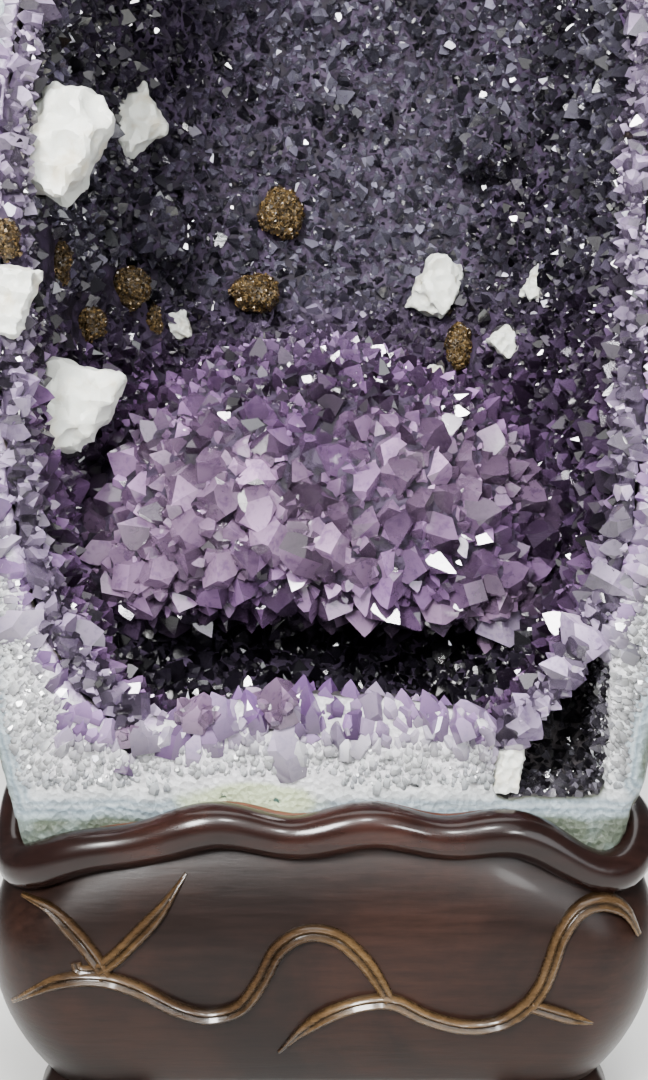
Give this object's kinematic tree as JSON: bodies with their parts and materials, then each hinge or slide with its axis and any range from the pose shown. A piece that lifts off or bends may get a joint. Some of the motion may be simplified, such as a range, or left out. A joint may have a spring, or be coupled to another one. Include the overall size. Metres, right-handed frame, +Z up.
{
  "type": "amethyst geode on a stand",
  "caption": "Upright amethyst geode with an open crystal-lined hollow, calcite and goethite growths, set in a carved dark wooden stand with a wavy rolled rim.",
  "frame": {"origin": "on the floor under the middle of the stand", "axes": "+Z up, -Y to the geode's open front, +X to the right when facing the open front"},
  "size_m": [0.3492, 0.2698, 0.7589],
  "materials": {
    "crust": "broken stone crust: grey-green skin outside, white and blue-grey quartz on the broken face",
    "amethyst": "clear to milky purple quartz crystals with flat glossy faces",
    "calcite": "milky white, satin cleavage faces",
    "goethite": "golden-brown, granular and glittering",
    "dark_wood": "dark lacquer, glossy on the rim and semi-gloss on the sides",
    "rubbed_wood": "golden-brown rubbed lacquer"
  },
  "bodies": {
    "root": {"amethyst_dome": "amethyst", "amethyst_ledge": "amethyst", "amethyst_lining": "amethyst", "amethyst_point_1": "amethyst", "amethyst_point_2": "amethyst", "amethyst_point_3": "amethyst", "amethyst_point_4": "amethyst", "amethyst_point_5": "amethyst", "amethyst_point_6": "amethyst", "amethyst_point_7": "amethyst", "amethyst_rosette_left": "amethyst", "amethyst_rosette_right": "amethyst", "calcite_block_1": "calcite", "calcite_block_10": "calcite", "calcite_block_2": "calcite", "calcite_block_3": "calcite", "calcite_block_4": "calcite", "calcite_block_5": "calcite", "calcite_block_6": "calcite", "calcite_block_7": "calcite", "calcite_block_8": "calcite", "calcite_block_9": "calcite", "geode_crust": "crust", "goethite_lump_1": "goethite", "goethite_lump_10": "goethite", "goethite_lump_11": "goethite", "goethite_lump_2": "goethite", "goethite_lump_3": "goethite", "goethite_lump_4": "goethite", "goethite_lump_5": "goethite", "goethite_lump_6": "goethite", "goethite_lump_7": "goethite", "goethite_lump_8": "goethite", "goethite_lump_9": "goethite", "lip_point_1": "amethyst", "lip_point_2": "amethyst", "lip_point_3": "amethyst", "stand_body": "dark_wood", "stand_foot_back_left": "dark_wood", "stand_foot_back_right": "dark_wood", "stand_foot_front_left": "dark_wood", "stand_foot_front_right": "dark_wood", "vine_left_run": "rubbed_wood", "vine_middle_run": "rubbed_wood", "vine_right_run": "rubbed_wood", "vine_spike": "rubbed_wood", "vine_tip_left": "rubbed_wood", "vine_tip_right": "rubbed_wood"}
  },
  "joints": []
}
